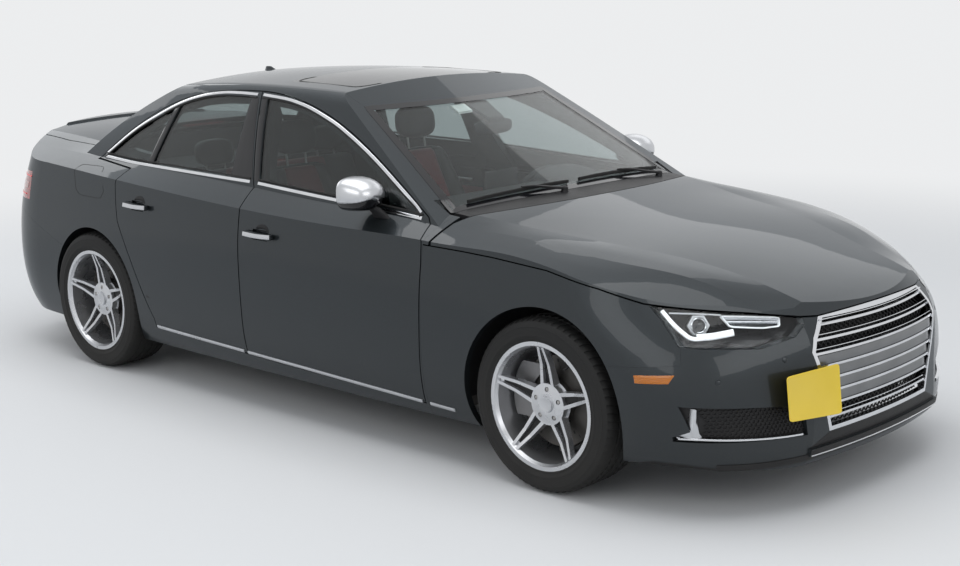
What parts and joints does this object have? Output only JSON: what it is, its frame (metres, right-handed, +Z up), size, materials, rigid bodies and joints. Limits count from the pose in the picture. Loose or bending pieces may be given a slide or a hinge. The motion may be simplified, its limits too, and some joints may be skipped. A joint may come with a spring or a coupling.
{
  "type": "sedan",
  "caption": "Four-door sedan with a hollow cabin, opening doors, bonnet and boot lid, steered front wheels and rolling wheels.",
  "frame": {"origin": "on the ground below the middle of the car", "axes": "+X to the nose, +Y to the car's left, +Z up"},
  "size_m": [4.7432, 1.914, 1.404],
  "materials": {
    "body_paint": "dark grey metallic under clear coat",
    "window_glass": "tinted",
    "black_plastic": "fine grain",
    "lamp_lens": "clear",
    "red_lens": "clear red",
    "bright_trim": "satin chrome",
    "inner_panel": "boot carpet",
    "dark_steel": "satin underseal",
    "cast_metal": "cast",
    "soft_trim": "soft grain",
    "bright_steel": "brushed",
    "leather": "red and black leather",
    "alloy": "silver lacquer",
    "tyre": "rubber"
  },
  "bodies": {
    "root": {"side_frame_left": "body_paint", "side_frame_right": "body_paint", "roof_panel": "body_paint", "sunroof_glass": "window_glass", "windshield": "window_glass", "rear_window": "window_glass", "fenders": "body_paint", "front_bumper": "body_paint", "rear_bumper": "body_paint", "rear_diffuser": "black_plastic", "headlamps": "lamp_lens", "tail_lamps": "red_lens", "grille": "bright_trim", "intake_grilles": "black_plastic", "cowl_panel": "black_plastic", "rear_deck": "inner_panel", "wheel_liners": "black_plastic", "floor_pan": "dark_steel", "boot_tub": "inner_panel", "firewall": "dark_steel", "front_structure": "dark_steel", "engine_block": "cast_metal", "front_subframe": "dark_steel", "rear_subframe": "dark_steel", "dashboard": "soft_trim", "front_seat_left": "leather", "front_seat_right": "leather", "rear_seat": "leather", "exhaust": "bright_steel"},
    "door_front_left": {"door_front_left": "body_paint", "glass_front_left": "window_glass", "door_mirror_left": "bright_trim"},
    "wheel_front_left": {"wheel_front_left": "alloy", "tyre_front_left": "tyre"},
    "door_rear_left": {"door_rear_left": "body_paint", "glass_rear_left": "window_glass"},
    "wheel_rear_left": {"wheel_rear_left": "alloy", "tyre_rear_left": "tyre"},
    "knuckle_left": {"knuckle_left": "cast_metal"},
    "door_front_right": {"door_front_right": "body_paint", "glass_front_right": "window_glass", "door_mirror_right": "bright_trim"},
    "wheel_front_right": {"wheel_front_right": "alloy", "tyre_front_right": "tyre"},
    "door_rear_right": {"door_rear_right": "body_paint", "glass_rear_right": "window_glass"},
    "wheel_rear_right": {"wheel_rear_right": "alloy", "tyre_rear_right": "tyre"},
    "knuckle_right": {"knuckle_right": "cast_metal"},
    "hood": {"hood": "body_paint"},
    "trunk_lid": {"trunk_lid": "body_paint", "lid_lamps": "red_lens"},
    "steering_wheel": {"steering_wheel": "soft_trim"}
  },
  "joints": [
    {"name": "steer_left", "type": "hinge", "parent": "root", "child": "knuckle_left", "pos_m": [1.482, 0.742, 0.3266], "axis": [0, 0, 1], "range_deg": [-35, 35]},
    {"name": "roll_front_left", "type": "hinge", "parent": "knuckle_left", "child": "wheel_front_left", "pos_m": [1.482, 0.778, 0.3266], "axis": [0, 1, 0], "continuous": true},
    {"name": "roll_rear_left", "type": "hinge", "parent": "root", "child": "wheel_rear_left", "pos_m": [-1.343, 0.778, 0.3266], "axis": [0, 1, 0], "continuous": true},
    {"name": "open_front_left", "type": "hinge", "parent": "root", "child": "door_front_left", "pos_m": [0.905, 0.915, 0.55], "axis": [0, 0, -1], "range_deg": [0, 65]},
    {"name": "open_rear_left", "type": "hinge", "parent": "root", "child": "door_rear_left", "pos_m": [-0.185, 0.915, 0.55], "axis": [0, 0, -1], "range_deg": [0, 68]},
    {"name": "steer_right", "type": "hinge", "parent": "root", "child": "knuckle_right", "pos_m": [1.482, -0.742, 0.3266], "axis": [0, 0, 1], "range_deg": [-35, 35]},
    {"name": "roll_front_right", "type": "hinge", "parent": "knuckle_right", "child": "wheel_front_right", "pos_m": [1.482, -0.778, 0.3266], "axis": [0, 1, 0], "continuous": true},
    {"name": "roll_rear_right", "type": "hinge", "parent": "root", "child": "wheel_rear_right", "pos_m": [-1.343, -0.778, 0.3266], "axis": [0, 1, 0], "continuous": true},
    {"name": "open_front_right", "type": "hinge", "parent": "root", "child": "door_front_right", "pos_m": [0.905, -0.915, 0.55], "axis": [0, 0, 1], "range_deg": [0, 65]},
    {"name": "open_rear_right", "type": "hinge", "parent": "root", "child": "door_rear_right", "pos_m": [-0.185, -0.915, 0.55], "axis": [0, 0, 1], "range_deg": [0, 68]},
    {"name": "hood_lift", "type": "hinge", "parent": "root", "child": "hood", "pos_m": [0.85, 0, 0.915], "axis": [0, -1, 0], "range_deg": [0, 48]},
    {"name": "boot_lift", "type": "hinge", "parent": "root", "child": "trunk_lid", "pos_m": [-1.612, 0, 1.08], "axis": [0, 1, 0], "range_deg": [0, 78]},
    {"name": "turn_steering_wheel", "type": "hinge", "parent": "root", "child": "steering_wheel", "pos_m": [0.345, 0.37, 0.8], "axis": [-0.9063, 0, 0.4226], "range_deg": [-490, 490]}
  ],
  "couplings": [
    {"joint": "steer_left", "follows": "steer_right", "ratio": 1},
    {"joint": "turn_steering_wheel", "follows": "steer_right", "ratio": 14}
  ]
}
